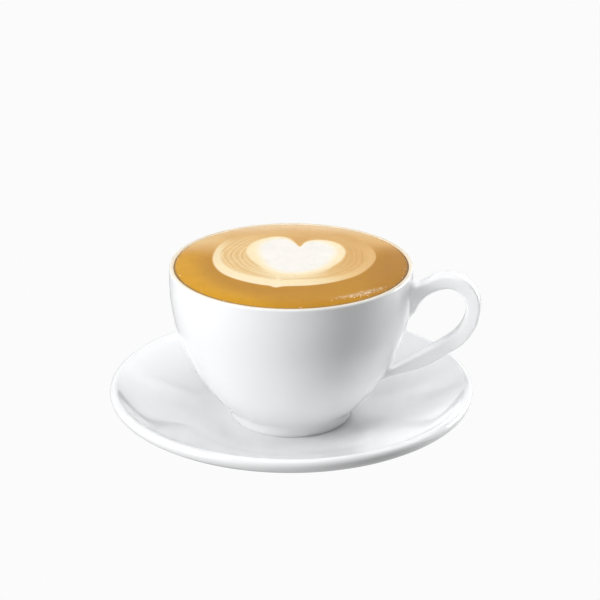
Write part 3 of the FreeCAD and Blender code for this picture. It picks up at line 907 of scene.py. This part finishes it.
# %% [markdown]
# ## Finishes
# Porcelain is a white body under clear glaze: diffuse white, sharp reflections, and a surface
# that is very slightly uneven. A clouded tint and a faint bump give that without any pattern that
# repeats. On the inner half of the lip the glaze is warmed by painted bounce light from the drink.

# %% Porcelain
def new_material(name):
    """Empty node tree with a Principled shader; returns material, tree and shader."""
    material = bpy.data.materials.new(name)
    material.use_nodes = True
    return material, material.node_tree, material.node_tree.nodes["Principled BSDF"]


def add(tree, kind, **settings):
    """Adds a node; settings that name a socket set its value, and others set a property."""
    node = tree.nodes.new(kind)
    for key, value in settings.items():
        if key in node.inputs:
            node.inputs[key].default_value = value
        else:
            setattr(node, key, value)
    return node


# how much painted warm bounce light from the drink lies at each point of the bowl; the other pieces hold no
# such numbers, so none
spot = np.empty(len(bowl.data.vertices) * 3, np.float32)
bowl.data.vertices.foreach_get("co", spot)
spot = spot.reshape(-1, 3) / MM
lip_reached = np.hypot(spot[:, 0], spot[:, 1])
lip_bounce_share = (ramp(spot[:, 2], CUP_TOP - 1.2, CUP_TOP - 0.8)
              * (1 - ramp(lip_reached, lip_middle + 0.1, lip_middle + 0.95)))
layer = bowl.data.attributes.new("lip_warm_bounce", "FLOAT", "POINT")
layer.data.foreach_set("value", lip_bounce_share.astype(np.float32))

porcelain, tree, shader = new_material("porcelain_glaze")
shader.inputs["Roughness"].default_value = 0.09
shader.inputs["IOR"].default_value = 1.5
coordinates = add(tree, "ShaderNodeTexCoord")
cloud = add(tree, "ShaderNodeTexNoise", Scale=38.0, Detail=2.0)
tint = add(tree, "ShaderNodeValToRGB")
tint.color_ramp.elements[0].color = (0.862, 0.870, 0.878, 1.0)
tint.color_ramp.elements[1].color = (0.884, 0.892, 0.900, 1.0)
ripple = add(tree, "ShaderNodeTexNoise", Scale=160.0, Detail=1.0)
bump = add(tree, "ShaderNodeBump", Strength=0.05, Distance=0.0004)
lip_bounce = add(tree, "ShaderNodeAttribute", attribute_name="lip_warm_bounce")
# painted bounce light: on the lip the glaze's tint is multiplied by a warm colour
warmed = add(tree, "ShaderNodeMix", data_type="RGBA", blend_type="MULTIPLY")
warmed.inputs[7].default_value = (0.97, 0.83, 0.62, 1.0)
tree.links.new(coordinates.outputs["Object"], cloud.inputs["Vector"])
tree.links.new(coordinates.outputs["Object"], ripple.inputs["Vector"])
tree.links.new(cloud.outputs["Fac"], tint.inputs["Fac"])
tree.links.new(lip_bounce.outputs["Fac"], warmed.inputs[0])
tree.links.new(tint.outputs["Color"], warmed.inputs[6])
tree.links.new(warmed.outputs[2], shader.inputs["Base Color"])
tree.links.new(ripple.outputs["Fac"], bump.inputs["Height"])
tree.links.new(bump.outputs["Normal"], shader.inputs["Normal"])
for piece in (bowl, dish, handle):
    piece.data.materials.append(porcelain)
print("finish:", porcelain.name)

# %% [markdown]
# ## Finish of the drink
# The drink is wet foam, far less shiny than glaze. Its colours are the numbers stored on its
# points. Noise of two sizes varies them by a few hundredths: slow swirls, and the fine grain of
# the foam's bubbles, which also gives the bump. The loose bubbles have a glossier finish of their
# own, which goes from crema to pale froth from one bubble to the next.

# %% Crema and foam
coffee, tree, shader = new_material("crema_and_foam")
shader.inputs["Roughness"].default_value = 0.4
shader.inputs["IOR"].default_value = 1.34
shader.inputs["Specular IOR Level"].default_value = 0.2
poured = add(tree, "ShaderNodeAttribute", attribute_name="pour_colour")
coordinates = add(tree, "ShaderNodeTexCoord")
swirl = add(tree, "ShaderNodeTexNoise", Scale=95.0, Detail=5.0, Distortion=1.8)
froth = add(tree, "ShaderNodeTexNoise", Scale=1400.0, Detail=2.0)
for texture in (swirl, froth):
    tree.links.new(coordinates.outputs["Object"], texture.inputs["Vector"])
brightness = add(tree, "ShaderNodeMapRange",
                 **{"From Min": 0.32, "From Max": 0.68, "To Min": 0.97, "To Max": 1.03})
speckle = add(tree, "ShaderNodeMapRange",
              **{"From Min": 0.3, "From Max": 0.7, "To Min": 0.965, "To Max": 1.03})
both = add(tree, "ShaderNodeMath", operation="MULTIPLY")
shaded = add(tree, "ShaderNodeVectorMath", operation="SCALE")
tree.links.new(swirl.outputs["Fac"], brightness.inputs["Value"])
tree.links.new(froth.outputs["Fac"], speckle.inputs["Value"])
tree.links.new(brightness.outputs["Result"], both.inputs[0])
tree.links.new(speckle.outputs["Result"], both.inputs[1])
tree.links.new(poured.outputs["Color"], shaded.inputs[0])
tree.links.new(both.outputs["Value"], shaded.inputs["Scale"])
tree.links.new(shaded.outputs["Vector"], shader.inputs["Base Color"])
bump = add(tree, "ShaderNodeBump", Strength=0.3, Distance=0.00012)
tree.links.new(froth.outputs["Fac"], bump.inputs["Height"])
tree.links.new(bump.outputs["Normal"], shader.inputs["Normal"])
drink.data.materials.append(coffee)
print("finish:", coffee.name)

film_material, tree, shader = new_material("bubble_film")
shader.inputs["Roughness"].default_value = 0.08
shader.inputs["IOR"].default_value = 1.34
shader.inputs["Coat Weight"].default_value = 0.6
shader.inputs["Coat Roughness"].default_value = 0.05
coordinates = add(tree, "ShaderNodeTexCoord")
grain = add(tree, "ShaderNodeTexNoise", Scale=420.0, Detail=1.0)
shade = add(tree, "ShaderNodeValToRGB")
shade.color_ramp.elements[0].position = 0.35
shade.color_ramp.elements[0].color = (0.56, 0.31, 0.09, 1.0)
shade.color_ramp.elements[1].position = 0.65
shade.color_ramp.elements[1].color = (0.93, 0.72, 0.47, 1.0)
tree.links.new(coordinates.outputs["Object"], grain.inputs["Vector"])
tree.links.new(grain.outputs["Fac"], shade.inputs["Fac"])
tree.links.new(shade.outputs["Color"], shader.inputs["Base Color"])
bubbles.data.materials.append(film_material)
print("finish:", film_material.name)

# %% [markdown]
# ## The sweep
# A shell far round the object is floor and backdrop in one, plain and just under white, so that
# the porcelain's bright edges still stand out. Only the camera sees it, so the light on the
# porcelain stays that of the lamps. It shines by itself, so no shadow shows on it.

# %% Sweep
SWEEP_RADIUS = 3000.0
SWEEP_FLOOR = -0.05
SWEEP_STEP = 200.0
SWEEP_AROUND = 64
SWEEP_GLOW = 0.965

sweep_profile = outline([(0, SWEEP_RADIUS), (SWEEP_RADIUS, SWEEP_RADIUS / 2),
                         (SWEEP_RADIUS / 2, SWEEP_FLOOR), (0, SWEEP_FLOOR)],
                        [None, (SWEEP_RADIUS / 1.6, -1), None], SWEEP_STEP)
sweep = turned("sweep", sweep_profile, SWEEP_AROUND)
white, tree, shader = new_material("sweep_white")
shader.inputs["Base Color"].default_value = (0.0, 0.0, 0.0, 1.0)
shader.inputs["Specular IOR Level"].default_value = 0.0
shader.inputs["Emission Color"].default_value = (1.0, 1.0, 1.0, 1.0)
shader.inputs["Emission Strength"].default_value = SWEEP_GLOW
sweep.data.materials.append(white)
sweep.visible_diffuse = False
sweep.visible_glossy = False
sweep.visible_transmission = False
sweep.visible_shadow = False

# %% [markdown]
# ## Joining the frame
# Each piece rides on the root body, and the solids that it stands for are hidden.
# The bowl stands for the whole cup, handle included, and the drink for the coffee and both foams,
# whose colours it carries. Handle and bubbles come in addition and stand for no solid.

# %% Ride and replace
for piece, nodes, finish in (
        (bowl, ["cup"], "porcelain"), (handle, [], "porcelain"), (dish, ["saucer"], "porcelain"),
        (drink, ["coffee", "foam_heart", "foam_band"], "crema"), (bubbles, [], "crema")):
    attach(piece, "root")
    if nodes:
        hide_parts(*nodes)
